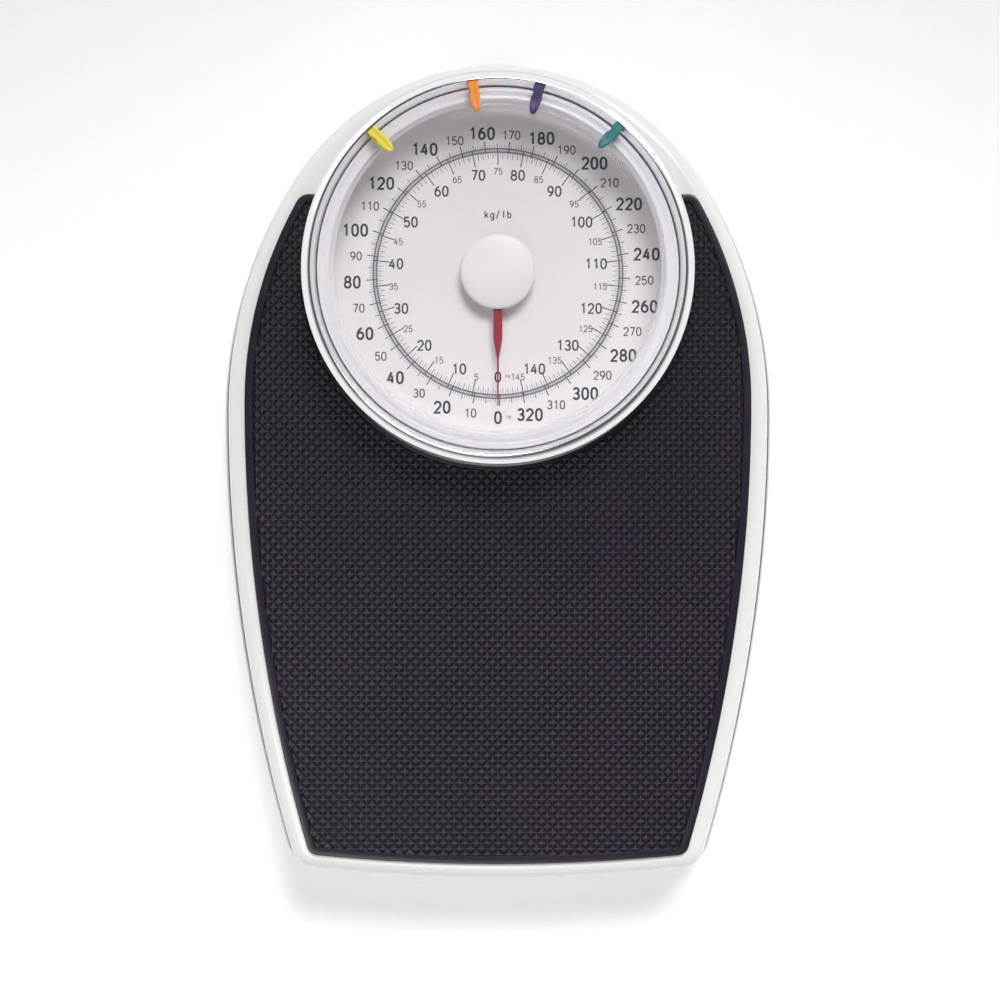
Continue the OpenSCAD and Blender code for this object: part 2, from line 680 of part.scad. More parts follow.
module rack_spring() {
  r = 2.1;
  turns = 18;
  steps = 10;
  path = [
    for (i = [-10 : turns * steps + 10])
      let (c = min(max(i, 0), turns * steps), grow = min(min(c, turns * steps - c) / steps, 1))
      let (rr = r * grow, z = 3 + 28 * c / (turns * steps) + 0.3 * (i - c))
      [rr * cos(36 * c), rr * sin(36 * c), z, 36 * c]
  ];
  color(steel) translate([-12.5, 120.5, rack_z]) rotate([-90, 0, 0]) wire_path(path, 0.3, 5);
}

module pinion_spindle() {
  ro = pitch_r + tooth_module * 0.9;
  rr = pitch_r - tooth_module * 1.25;
  tooth = 360 / pinion_teeth;
  color(brass) translate([0, dial_y, 0]) {
    translate([0, 0, 36]) cylinder(r = 1.5, h = pointer_z - 36 + 3, $fn = 48);
    translate([0, 0, 43.6]) linear_extrude(5.6) union() {
      circle(r = rr, $fn = 48);
      for (i = [0 : pinion_teeth - 1]) rotate([0, 0, tooth * (i + 0.5)])
        polygon([[rr - 0.3, -0.52], [pitch_r, -0.33], [ro, -0.14], [ro, 0.14], [pitch_r, 0.33], [rr - 0.3, 0.52]]);
    }
    translate([0, 0, 42.4]) cylinder(r = 3.4, h = 1, $fn = 48);
  }
}

module pointer() {
  z = pointer_z;
  color([0.72, 0.2, 0.25]) translate([0, dial_y, z]) {
    difference() {
      union() {
        cylinder(r = 7, h = 1, $fn = fine);
        linear_extrude(0.8) polygon([[-2.7, 0], [-2.7, -39], [-0.45, -42.7], [-0.45, -66.6], [0.45, -66.6],
          [0.45, -42.7], [2.7, -39], [2.7, 0]]);
        linear_extrude(0.8) polygon([[-2.7, 0], [-2.7, 16], [2.7, 16], [2.7, 0]]);
      }
      translate([0, 0, -1]) cylinder(r = 1.53, h = 4, $fn = 48);
    }
  }
}

module hub_cap() {
  color([0.9, 0.88, 0.87]) translate([0, dial_y, pointer_z + 1.05]) difference() {
    rotate_extrude($fn = fine) polygon([[0, 0], [19.7, 0], [19.8, 0.9], [19.2, 1.8], [17.5, 2.5], [14, 3], [8, 3.4], [0, 3.6]]);
    translate([0, 0, -1]) cylinder(r = 1.53, h = 3, $fn = 48);
  }
}

// Clip that sits on the lens flange and reaches over its shoulder; angle is from the dial end, positive to the left
module marker(angle, tint) {
  z = platform_z;
  color(tint) translate([0, dial_y, 0]) rotate([0, 0, angle + 90]) intersection() {
    rotate([90, 0, 0]) linear_extrude(5.4, center = true)
      polygon([[88.3, z + 24.5], [93.7, z + 24.5], [94.1, z + 29], [96.3, z + 29.5], [96.3, z + 30.4], [93.5, z + 31.6],
        [88, z + 34.2], [84, z + 35.7], [79.9, z + 35.9], [79.9, z + 35.2], [84.2, z + 33.2], [87.6, z + 29.6]]);
    translate([0, 0, z + 20]) linear_extrude(20)
      polygon([[79.9, -0.5], [79.9, 0.5], [84.5, 2.7], [97, 2.7], [97, -2.7], [84.5, -2.7]]);
  }
}

base_pan();
rubber_feet();
foot_rivets();
fulcrum_brackets();
bracket_rivets();
spring_tower();
tower_screws();
crank_bracket();
crank_pin();
movement_bridge();
bridge_screws();
rack_guides();
spindle_cock();
spindle_bushes();
platform_cover();
platform_mat();
load_hangers();
hanger_rivets();
dial_housing();
housing_screws();
dial_face();
chrome_bezel();
dial_lens();
color(zinc) long_lever(-1);  // long_lever_left
color(zinc) long_lever(1);  // long_lever_right
color(zinc) short_lever(-1);  // short_lever_left
color(zinc) short_lever(1);  // short_lever_right
color(steel) long_pins(-1);  // long_pins_left
color(steel) long_pins(1);  // long_pins_right
color(steel) short_pins(-1);  // short_pins_left
color(steel) short_pins(1);  // short_pins_right
calibration_plate();
lower_spring_plug();
main_spring();
spring_anchor();
adjusting_screw();
zero_wheel();
bell_crank();
rack();
rack_pin();
rack_spring();
pinion_spindle();
pointer();
hub_cap();
marker(42.8, [0.94, 0.86, 0.32]);  // marker_yellow
marker(7.7, [0.9, 0.55, 0.2]);  // marker_orange
marker(-12.9, [0.22, 0.14, 0.36]);  // marker_purple
marker(-40.8, [0.16, 0.5, 0.5]);  // marker_teal
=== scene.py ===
import math

import bpy
import bmesh
from mathutils import Matrix, Vector


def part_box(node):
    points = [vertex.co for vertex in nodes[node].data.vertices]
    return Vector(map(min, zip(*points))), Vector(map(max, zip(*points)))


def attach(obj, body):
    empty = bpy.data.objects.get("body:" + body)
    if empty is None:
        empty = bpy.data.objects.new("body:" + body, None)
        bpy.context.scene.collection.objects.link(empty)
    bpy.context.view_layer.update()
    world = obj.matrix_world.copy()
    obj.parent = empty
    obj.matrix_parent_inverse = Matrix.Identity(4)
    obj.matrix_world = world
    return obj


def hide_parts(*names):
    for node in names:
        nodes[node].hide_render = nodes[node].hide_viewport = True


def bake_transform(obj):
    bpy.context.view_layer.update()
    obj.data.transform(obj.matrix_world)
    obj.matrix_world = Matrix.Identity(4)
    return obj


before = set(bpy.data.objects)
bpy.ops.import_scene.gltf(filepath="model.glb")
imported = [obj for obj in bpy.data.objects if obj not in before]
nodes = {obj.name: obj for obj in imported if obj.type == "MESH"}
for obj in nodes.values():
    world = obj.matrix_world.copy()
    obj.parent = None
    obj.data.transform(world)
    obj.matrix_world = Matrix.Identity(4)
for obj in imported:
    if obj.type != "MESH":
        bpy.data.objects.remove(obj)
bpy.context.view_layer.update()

# Sizes in millimetres, in the CAD frame; meshes are scaled to metres at the end

MM = 0.001
H = 54.0                    # painted platform top
DIAL_Y = 105.5              # dial axis
OPENING_R = 62.0            # hole in the platform under the dial
FACE_Z = H + 2.9            # printed side of the dial face
POINTER_Z = FACE_Z + 6.0    # underside of the pointer
LENS_Z = H + 22.0           # underside of the lens flange
RING_Z = H + 25.0           # shoulder of the chrome ring
RING_R = 102.3              # outer radius of the chrome ring
MAT_Z = H + 0.02            # underside of the mat, just clear of the paint
MAT_TOP = 148.2             # y of the mat's two horns
SPRING_Y = 203.0            # main spring's axis
CAM_X, CAM_Y = 1.1, -15.2
CAM_HEIGHT = 860.0          # camera above the platform top


# Camera, straight above

cam_data = bpy.data.cameras.new("camera")
cam = bpy.data.objects.new("camera", cam_data)
bpy.context.scene.collection.objects.link(cam)
cam.location = (CAM_X * MM, CAM_Y * MM, (H + CAM_HEIGHT) * MM)
cam.rotation_euler = (0, 0, 0)
cam_data.sensor_width = 36
cam_data.lens = 57.9
cam_data.clip_start = 0.01
cam_data.clip_end = 50
bpy.context.scene.camera = cam


# Shader helpers

class Mat:
    """A node material with a few shorthands."""

    def __init__(self, name, color=(0.8, 0.8, 0.8), rough=0.5, metal=0.0, **sockets):
        self.m = bpy.data.materials.new(name)
        self.m.use_nodes = True
        self.t = self.m.node_tree
        self.bsdf = self.t.nodes["Principled BSDF"]
        self.out = self.t.nodes["Material Output"]
        self.set("Base Color", (*color, 1.0))
        self.set("Roughness", rough)
        self.set("Metallic", metal)
        for key, value in sockets.items():
            self.set(key.replace("_", " "), value)
        self.coord = self.t.nodes.new("ShaderNodeTexCoord")

    def set(self, name, value):
        self.bsdf.inputs[name].default_value = value

    def node(self, kind, **props):
        n = self.t.nodes.new(kind)
        for k, v in props.items():
            setattr(n, k, v)
        return n

    def link(self, a, b):
        self.t.links.new(a, b)

    def mapped(self, scale):
        mp = self.node("ShaderNodeMapping")
        mp.inputs["Scale"].default_value = scale
        self.link(self.coord.outputs["Object"], mp.inputs["Vector"])
        return mp.outputs["Vector"]

    def noise(self, scale, detail=4.0, rough=0.5, stretch=(1, 1, 1)):
        n = self.node("ShaderNodeTexNoise")
        n.inputs["Scale"].default_value = scale
        n.inputs["Detail"].default_value = detail
        n.inputs["Roughness"].default_value = rough
        self.link(self.mapped(stretch), n.inputs["Vector"])
        return n.outputs["Fac"]

    def ramp(self, fac, stops):
        r = self.node("ShaderNodeValToRGB")
        while len(r.color_ramp.elements) < len(stops):
            r.color_ramp.elements.new(0.5)
        for e, (pos, col) in zip(r.color_ramp.elements, stops):
            e.position = pos
            e.color = (*col, 1.0)
        self.link(fac, r.inputs["Fac"])
        return r.outputs["Color"]

    def range(self, fac, lo, hi):
        r = self.node("ShaderNodeMapRange")
        r.inputs["To Min"].default_value = lo
        r.inputs["To Max"].default_value = hi
        self.link(fac, r.inputs["Value"])
        return r.outputs["Result"]

    def color_from(self, fac, stops):
        self.link(self.ramp(fac, stops), self.bsdf.inputs["Base Color"])

    def rough_from(self, fac, lo, hi):
        self.link(self.range(fac, lo, hi), self.bsdf.inputs["Roughness"])

    def bump(self, fac, strength, distance):
        b = self.node("ShaderNodeBump")
        b.inputs["Strength"].default_value = strength
        b.inputs["Distance"].default_value = distance
        self.link(fac, b.inputs["Height"])
        self.link(b.outputs["Normal"], self.bsdf.inputs["Normal"])


def shade(c, k):
    return tuple(min(1.0, v * k) for v in c)


def paint(name, color, rough=0.3, peel=0.12):
    m = Mat(name, color, rough, Coat_Weight=0.35, Coat_Roughness=0.12)
    cloud = m.noise(9, 5, 0.55)
    m.color_from(cloud, [(0.3, shade(color, 0.985)), (0.7, shade(color, 1.012))])
    m.rough_from(m.noise(40, 3), rough - 0.04, rough + 0.06)
    m.bump(m.noise(420, 2, 0.4), peel, 0.00012)
    return m


def metal(name, color, rough, grain=(1, 1, 30), scratch=0.1):
    m = Mat(name, color, rough, 1.0)
    g = m.noise(160, 5, 0.6, grain)
    cloud = m.noise(45, 4, 0.6)
    m.color_from(cloud, [(0.25, shade(color, 0.86)), (0.6, color), (0.85, shade(color, 1.05))])
    m.rough_from(g, rough - 0.08, rough + 0.12)
    m.bump(g, scratch, 0.00008)
    return m


def plastic(name, color, rough=0.3, grain=0.1):
    m = Mat(name, color, rough, Specular_IOR_Level=0.5)
    m.color_from(m.noise(30, 4), [(0.3, shade(color, 0.96)), (0.7, shade(color, 1.03))])
    m.rough_from(m.noise(90, 3), rough - 0.05, rough + 0.08)
    m.bump(m.noise(900, 2, 0.5), grain, 0.00006)
    return m


def ink(name, color, dark, light, scale=300):
    m = Mat(name, color, 0.5)
    m.color_from(m.noise(scale, 2), [(0.3, dark), (0.7, light)])
    return m


# Materials

white = paint("white_enamel", (0.76, 0.755, 0.725))
rubber = Mat("black_rubber", (0.011, 0.0072, 0.0145), 0.34, Specular_IOR_Level=0.55)
rubber.color_from(rubber.noise(14, 5, 0.6),
                  [(0.3, (0.009, 0.0055, 0.012)), (0.7, (0.0145, 0.0092, 0.019))])
rubber.rough_from(rubber.noise(60, 4, 0.6), 0.25, 0.38)
rubber.bump(rubber.noise(700, 3, 0.55), 0.25, 0.00012)
foot_rubber = Mat("foot_rubber", (0.025, 0.025, 0.026), 0.7)
foot_rubber.color_from(foot_rubber.noise(60, 4),
                       [(0.3, (0.018, 0.018, 0.019)), (0.7, (0.035, 0.035, 0.036))])
foot_rubber.bump(foot_rubber.noise(500, 3), 0.35, 0.0002)
chrome = Mat("chrome", (0.86, 0.85, 0.87), 0.05, 1.0)
chrome.rough_from(chrome.noise(55, 4, 0.6), 0.03, 0.085)
chrome.bump(chrome.noise(18, 2, 0.4), 0.04, 0.0006)
zinc = metal("zinc_plate", (0.62, 0.635, 0.62), 0.34)
steel = metal("ground_steel", (0.50, 0.505, 0.52), 0.30, (1, 30, 1))
spring_steel = metal("spring_steel", (0.40, 0.40, 0.42), 0.28, (1, 1, 1))
brass = metal("brass", (0.70, 0.50, 0.20), 0.26, (30, 1, 1))
housing_mat = plastic("housing_plastic", (0.82, 0.80, 0.83), 0.35)
hub_mat = plastic("hub_plastic", (0.79, 0.765, 0.755), 0.42, 0.15)
wheel_mat = plastic("wheel_plastic", (0.03, 0.03, 0.035), 0.5, 0.3)
pointer_mat = paint("pointer_red", (0.29, 0.03, 0.042), 0.4, 0.1)
ink_dark = ink("ink_dark", (0.045, 0.045, 0.055), (0.035, 0.035, 0.045), (0.06, 0.06, 0.07))
ink_grey = ink("ink_grey", (0.08, 0.075, 0.09), (0.065, 0.06, 0.075), (0.10, 0.095, 0.11))
ink_line = ink("ink_line", (0.15, 0.14, 0.16), (0.125, 0.115, 0.135), (0.175, 0.165, 0.185))
ink_band = ink("ink_band", (0.50, 0.485, 0.51), (0.46, 0.445, 0.47), (0.54, 0.525, 0.55), 200)
face_mat = Mat("dial_print", (0.86, 0.835, 0.84), 0.55, Specular_IOR_Level=0.35)
face_mat.color_from(face_mat.noise(7, 4), [(0.3, (0.79, 0.765, 0.765)), (0.7, (0.815, 0.79, 0.79))])
face_mat.bump(face_mat.noise(1200, 2), 0.12, 0.00003)


def clear(name, tint, rough, gloss):
    """Clear moulded plastic as a see-through sheet with a mirror gloss that rises at grazing angles."""
    m = Mat(name, tint, rough)
    glass = m.node("ShaderNodeBsdfTransparent")
    glass.inputs["Color"].default_value = (*tint, 1.0)
    shine = m.node("ShaderNodeBsdfGlossy")
    shine.inputs["Roughness"].default_value = rough
    shine.inputs["Color"].default_value = (1, 1, 1, 1)
    facing = m.node("ShaderNodeLayerWeight")
    facing.inputs["Blend"].default_value = 0.5
    rise = m.node("ShaderNodeMath", operation="POWER")
    rise.inputs[1].default_value = 5.0
    m.link(facing.outputs["Facing"], rise.inputs[0])
    mix = m.node("ShaderNodeMixShader")
    bump = m.node("ShaderNodeBump")
    bump.inputs["Strength"].default_value = 0.06
    bump.inputs["Distance"].default_value = 0.0004
    m.link(m.noise(22, 2, 0.4), bump.inputs["Height"])
    m.link(bump.outputs["Normal"], shine.inputs["Normal"])
    m.link(m.range(rise.outputs["Value"], gloss, 0.9), mix.inputs["Fac"])
    m.link(glass.outputs["BSDF"], mix.inputs[1])
    m.link(shine.outputs["BSDF"], mix.inputs[2])
    m.link(mix.outputs["Shader"], m.out.inputs["Surface"])
    return m


lens_flat = clear("lens_clear", (0.997, 0.995, 1.0), 0.03, 0.01)
# Lens shoulder: painted light. Its half see-through white stands in for the light that the clear moulded
# shoulder catches and refracts
lens_edge_painted_light = Mat("lens_edge_painted_light", (0.97, 0.95, 0.985), 0.08, Alpha=0.5, IOR=1.47)
lens_edge_painted_light.bump(lens_edge_painted_light.noise(30, 2), 0.05, 0.0004)

marker_mats = {
    "yellow": plastic("marker_yellow", (0.72, 0.60, 0.05), 0.4, 0.2),
    "orange": plastic("marker_orange", (0.76, 0.25, 0.025), 0.4, 0.2),
    "purple": plastic("marker_purple", (0.026, 0.008, 0.088), 0.4, 0.2),
    "teal": plastic("marker_teal", (0.012, 0.15, 0.16), 0.4, 0.2),
}


# Mesh helpers

def plain_object(name, bm):
    """The mesh, scaled to metres, as a linked object. The bmesh is used up."""
    me = bpy.data.meshes.new(name)
    bm.normal_update()
    bm.to_mesh(me)
    bm.free()
    me.transform(Matrix.Scale(MM, 4))
    ob = bpy.data.objects.new(name, me)
    bpy.context.scene.collection.objects.link(ob)
    return ob


def dress(ob, mats, smooth):
    """Adds the materials; smooth is the sharpest angle in degrees that is shaded as one surface."""
    for m in mats:
        ob.data.materials.append(m.m)
    if smooth:
        ob.data.shade_smooth()
        ob.data.set_sharp_from_angle(angle=math.radians(smooth))


def new_object(name, bm, mats, body, smooth=35, replaces=()):
    """A visible piece that rides one body."""
    ob = plain_object(name, bm)
    dress(ob, mats if isinstance(mats, (list, tuple)) else [mats], smooth)
    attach(ob, body)
    if replaces:
        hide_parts(*replaces)
    return ob


def ring(bm, pts):
    return [bm.verts.new(p) for p in pts]


def bridge(bm, a, b, mat=0):
    """Four-sided faces between two closed rings with the same number of vertices."""
    for i in range(len(a)):
        j = (i + 1) % len(a)
        f = bm.faces.new((a[i], a[j], b[j], b[i]))
        f.material_index = mat


def circle_pts(r, z, n=128):
    """A circle about the dial's axis."""
    return [(r * math.cos(2 * math.pi * i / n), DIAL_Y + r * math.sin(2 * math.pi * i / n), z)
            for i in range(n)]


def revolve(bm, profile, steps=256, mat_of=None, closed=True):
    """Turns (r, z) points about the dial's axis. A point with r = 0 closes to one vertex."""
    rows = [ring(bm, circle_pts(r, z, steps) if r > 1e-6 else [(0.0, DIAL_Y, z)]) for r, z in profile]
    pairs = list(zip(rows, rows[1:]))
    if closed:
        pairs.append((rows[-1], rows[0]))
    for k, (a, b) in enumerate(pairs):
        mat = mat_of(k) if mat_of else 0
        if len(a) == 1 or len(b) == 1:
            apex, rim = (a[0], b) if len(a) == 1 else (b[0], a)
            for i in range(steps):
                f = bm.faces.new((apex, rim[i], rim[(i + 1) % steps]))
                f.material_index = mat
        else:
            bridge(bm, a, b, mat)
    bmesh.ops.recalc_face_normals(bm, faces=bm.faces)


def fill(bm, *rings):
    """Fills the flat region between closed rings of vertices."""
    edges = []
    for verts in rings:
        for a, b in zip(verts, verts[1:] + verts[:1]):
            edges.append(bm.edges.get((a, b)) or bm.edges.new((a, b)))
    bmesh.ops.triangle_fill(bm, use_beauty=True, use_dissolve=False, edges=edges)


def arc(cx, cy, r, a0, a1, n):
    """n + 1 points on an arc, angles in degrees."""
    return [(cx + r * math.cos(math.radians(a0 + (a1 - a0) * i / n)),
             cy + r * math.sin(math.radians(a0 + (a1 - a0) * i / n))) for i in range(n + 1)]


def lower_corner(side, r1, fy, r2, cr):
    """Centre of a corner arc that is tangent inside the side arc and inside the foot arc."""
    d = math.hypot(side[0], side[1] - fy)
    a, b = r1 - cr, r2 - cr
    t = (a * a - b * b + d * d) / (2 * d)
    h = math.sqrt(a * a - t * t)
    ux, uy = -side[0] / d, (fy - side[1]) / d
    p = (side[0] + t * ux + h * uy, side[1] + t * uy - h * ux)
    q = (side[0] + t * ux - h * uy, side[1] + t * uy + h * ux)
    return p if p[1] < q[1] else q


def degrees(y, x):
    return math.degrees(math.atan2(y, x))


def joined(parts):
    """The parts as one list, without points that repeat."""
    out = []
    for part in parts:
        for p in part:
            if not out or math.dist(p, out[-1]) > 0.02:
                out.append(p)
    return out


def mirrored(half, ends_on_axis=True):
    """A half outline that starts on x = 0, with its mirror image back to the start."""
    back = half[-2:0:-1] if ends_on_axis else half[:0:-1]
    return half + [(-x, y) for x, y in back]


# Outlines, with k scaling the number of points

def body_outline(g, k=4):
    """Outline of platform and pan, grown by g: foot, corner, side, shoulder and the arch round the dial."""
    half_w, half_length, wide_y = 151.3, 225, 32.4
    top_r, shoulder_r, side_r, foot_r, corner_r = 133.3, 240.3, 838, 877, 19
    side = (half_w - side_r, wide_y)
    fy = foot_r - half_length
    c = lower_corner(side, side_r, fy, foot_r, corner_r)
    foot_a, side_a = degrees(c[1] - fy, c[0]), degrees(c[1] - wide_y, c[0] - side[0])
    tan_a = math.degrees(math.acos((half_w - shoulder_r) / (top_r - shoulder_r)))
    return mirrored(joined([
        arc(0, fy, foot_r + g, -90, foot_a, 8 * k),
        arc(c[0], c[1], corner_r + g, foot_a, side_a, 6 * k),
        arc(side[0], side[1], side_r + g, side_a, 0, 14 * k),
        arc(half_w - shoulder_r, wide_y, shoulder_r + g, 0, tan_a, 12 * k),
        arc(0, half_length - top_r, top_r + g, tan_a, 90, 12 * k)]))


def mat_outline(g, k=4):
    """Right half of the mat's outline, grown by g, from the foot end to the top of its horn."""
    half_w, wide_y, foot_y = 135.35, 36.8, -209.6
    shoulder_r, side_r, foot_r, corner_r, tr = 221.4, 856.9, 985, 6.5, 7.5
    side = (half_w - side_r, wide_y)
    fy = foot_y + foot_r
    c = lower_corner(side, side_r, fy, foot_r, corner_r)
    foot_a, side_a = degrees(c[1] - fy, c[0]), degrees(c[1] - wide_y, c[0] - side[0])
    sx, ty = half_w - shoulder_r, MAT_TOP - tr
    end_a = math.degrees(math.asin((ty - wide_y) / (shoulder_r - tr)))
    tx = sx + (shoulder_r - tr) * math.cos(math.radians(end_a))
    return joined([
        arc(0, fy, foot_r + g, -90, foot_a, 8 * k),
        arc(c[0], c[1], corner_r + g, foot_a, side_a, 5 * k),
        arc(side[0], side[1], side_r + g, side_a, 0, 14 * k),
        arc(sx, wide_y, shoulder_r + g, 0, end_a, 10 * k),
        arc(tx, ty, tr + g, end_a, 90, 4 * k)])


def sweep(bm, profile, outline):
    """Rings of an outline grown by g at height z, joined in order; returns the rings."""
    rings = [ring(bm, [(x, y, z) for x, y in outline(g)]) for g, z in profile]
    for a, b in zip(rings, rings[1:]):
        bridge(bm, a, b)
    return rings


# Platform cover: stamped steel with a rolled edge, a turned-in skirt hem and the dial opening

def build_cover():
    bm = bmesh.new()
    gap, sheet, roll, lean = 2.3, 1.2, 8.2, 3.7     # gap to the pan's rim; lean of the wall
    low = 14.0                                      # height of the hem
    c = -gap - lean - roll
    outer = arc(c, H - roll, roll, 0, 90, 20)
    inner = arc(c, H - roll, roll - sheet, 0, 90, 8)
    hem = [(-gap - sheet, low + 0.6), (-gap - sheet + 0.25, low + 0.15), (-gap - sheet / 2, low),
           (-gap - 0.25, low + 0.15), (-gap, low + 0.6), (-gap - 0.02, low + 2.0)]
    profile = [(c - 3, H - sheet)] + inner[::-1] + hem + outer + [(c - 0.6, H), (c - 3, H)]
    rings = sweep(bm, profile, body_outline)
    top_hole = ring(bm, circle_pts(OPENING_R, H))
    low_hole = ring(bm, circle_pts(OPENING_R, H - sheet))
    fill(bm, rings[-1], top_hole)
    fill(bm, rings[0], low_hole)
    bridge(bm, top_hole, low_hole)
    bmesh.ops.recalc_face_normals(bm, faces=bm.faces)
    new_object("cover_shell", bm, white, "platform", 40, ["platform_cover"])


# Base pan: a shallow tray with a rolled rim, the zero wheel's slot and the foot rivets' holes

def build_pan():
    bm = bmesh.new()
    foot, sheet, roll, rim = 6.0, 1.2, 6.8, 22.0    # foot is the tray's underside, rim its top edge
    ro = roll + sheet
    outer = arc(-ro, foot + ro, ro, -90, 0, 12)
    inner = arc(-ro, foot + ro, roll, -90, 0, 8)
    hem = [(0, rim - 2.6), (0, rim - 0.75), (-0.12, rim - 0.3), (-0.35, rim - 0.06), (-0.6, rim),
           (-0.85, rim - 0.06), (-1.08, rim - 0.3), (-1.2, rim - 0.75), (-1.2, rim - 2.6)]
    profile = [(-ro - 3, foot)] + outer + hem + inner[::-1] + [(-ro - 3, foot + sheet)]
    rings = sweep(bm, profile, body_outline)
    fill(bm, rings[0])
    fill(bm, rings[-1])
    bmesh.ops.recalc_face_normals(bm, faces=bm.faces)
    pan = new_object("base_shell", bm, white, "base", 40, ["base_pan"])
    cut = bmesh.new()
    slot_centre, slot_size = (0, 220, 10.15), (34, 12, 6.5)
    bmesh.ops.create_cube(cut, size=1.0,
                          matrix=Matrix.Translation(slot_centre) @ Matrix.Diagonal((*slot_size, 1)))
    hole_r = 2.6
    for side in (-1, 1):
        for x, y in ((96, -199), (92, 128)):
            bmesh.ops.create_cone(cut, cap_ends=True, segments=48, radius1=hole_r, radius2=hole_r, depth=6,
                                  matrix=Matrix.Translation((side * x, y, foot + sheet / 2)))
    tool = plain_object("cutter", cut)
    mod = pan.modifiers.new("cut", "BOOLEAN")
    mod.object = tool
    mod.operation = "DIFFERENCE"
    mod.solver = "EXACT"
    depsgraph = bpy.context.evaluated_depsgraph_get()
    depsgraph.update()
    cut_mesh = bpy.data.meshes.new_from_object(pan.evaluated_get(depsgraph))
    pan.modifiers.clear()
    pan.data = cut_mesh
    bpy.data.objects.remove(tool)


# Mat: plain border and a field of small blunt pyramids set on the diagonal

PITCH = 5.87                # across a pyramid's diagonal
BORDER = 4.6                # width of the plain border
DIAL_CUT = RING_R + 0.45    # radius cut out of the mat for the chrome ring
CROSS = ((1, 0), (0, 1), (-1, 0), (0, -1))


def cut_outline(g, cut):
    """Mat outline inset by g with a circle of radius cut round the dial taken out, as one loop."""
    top = MAT_TOP - g
    end = math.degrees(math.asin((top - DIAL_Y) / cut))
    half = [p for p in mat_outline(-g) if math.hypot(p[0], p[1] - DIAL_Y) > cut or p[1] < DIAL_Y]
    half.append((cut * math.cos(math.radians(end)), top))
    return mirrored(half + arc(0, DIAL_Y, cut, end, -90, 90)[1:])


def build_mat_sheet():
    bm = bmesh.new()
    # inset from the outline, widening of the dial's cut, height
    steps = [(0.0, 0.0, 0.0), (0.0, 0.0, 1.2), (0.12, 0.12, 1.48), (0.35, 0.35, 1.6), (0.8, 0.8, 1.64),
             (BORDER - 0.7, 1.6, 1.64), (BORDER - 0.45, 1.85, 1.55), (BORDER - 0.1, 2.1, 0.4)]
    loops = [ring(bm, [(x, y, MAT_Z + z) for x, y in cut_outline(g, DIAL_CUT + widen)])
             for g, widen, z in steps]
    for a, b in zip(loops, loops[1:]):
        bridge(bm, a, b)
    fill(bm, loops[-1])
    fill(bm, loops[0])
    bmesh.ops.recalc_face_normals(bm, faces=bm.faces)
    new_object("mat_sheet", bm, rubber, "platform", 40, ["platform_mat"])


def in_field(x, y, limit):
    """Whether a point is inside the loop limit and outside the dial's cut."""
    if math.hypot(x, y - DIAL_Y) < DIAL_CUT + 1.7:
        return False
    hit = False
    for (x1, y1), (x2, y2) in zip(limit, limit[1:] + limit[:1]):
        if (y1 > y) != (y2 > y) and x < (x2 - x1) * (y - y1) / (y2 - y1) + x1:
            hit = not hit
    return hit


def field_reach(x, y, dx, dy, full, limit):
    """How far the field goes from a point in one direction, up to full."""
    if in_field(x + dx * full, y + dy * full, limit):
        return full
    near, far = 0.0, full
    for _ in range(6):
        middle = (near + far) / 2
        if in_field(x + dx * middle, y + dy * middle, limit):
            near = middle
        else:
            far = middle
    return near


def build_mat_pyramids():
    bm = bmesh.new()
    half, tip, top = PITCH / 2, 0.42, 0.55          # tip's half diagonal, and its share on the blunt top
    z0, z1 = MAT_Z + 0.36, MAT_Z + 1.98
    limit = mirrored(mat_outline(-BORDER + 0.75, 2), False)
    for row in range(-75, 60):
        y = row * PITCH / 2 + 0.7
        for col in range(-48, 49):
            x = col * PITCH / 2
            if (row + col) % 2 or not in_field(x, y, limit):
                continue
            reach = [max(field_reach(x, y, dx, dy, half, limit), tip * 1.3) for dx, dy in CROSS]
            low_ring = ring(bm, [(x + dx * r, y + dy * r, z0) for (dx, dy), r in zip(CROSS, reach)])
            mid_ring = ring(bm, [(x + dx * tip, y + dy * tip, z1 - 0.1) for dx, dy in CROSS])
            top_ring = ring(bm, [(x + dx * tip * top, y + dy * tip * top, z1) for dx, dy in CROSS])
            bridge(bm, low_ring, mid_ring)
            bridge(bm, mid_ring, top_ring)
            bm.faces.new(top_ring)
            bm.faces.new(low_ring[::-1])
    new_object("mat_pyramids", bm, rubber, "platform", 0)


# Dial: chrome ring, lens, housing and face are turned about the dial's axis from (r, z) profiles

def build_bezel():
    bm = bmesh.new()
    wall = [(99.2, H + 0.03), (100.6, H + 0.03), (100.9, H + 1.2), (100.95, H + 4)]
    shoulder = arc(RING_R - 1.4, RING_Z - 0.2, 1.4, -15, 50, 12)
    slope = arc(RING_R - 11.83, RING_Z - 13.12, 18, 52, 63.5, 8)
    crest = arc(RING_R - 4.5, RING_Z + 2.2, 1.0, 67, 150, 16)
    lip = [(94.95, LENS_Z + 2.6), (94.9, LENS_Z - 1.5), (96.1, LENS_Z - 1.5), (96.1, LENS_Z + 2.2)]
    inside = arc(RING_R - 1.9, RING_Z - 0.8, 0.7, -10, 60, 4)
    inside += arc(RING_R - 4.6, RING_Z + 1.5, 0.7, 68, 150, 6)
    revolve(bm, wall + shoulder + slope + crest + lip + inside[::-1] + [(99.6, H + 4)])
    new_object("bezel_ring", bm, chrome, "platform", 50, ["chrome_bezel"])


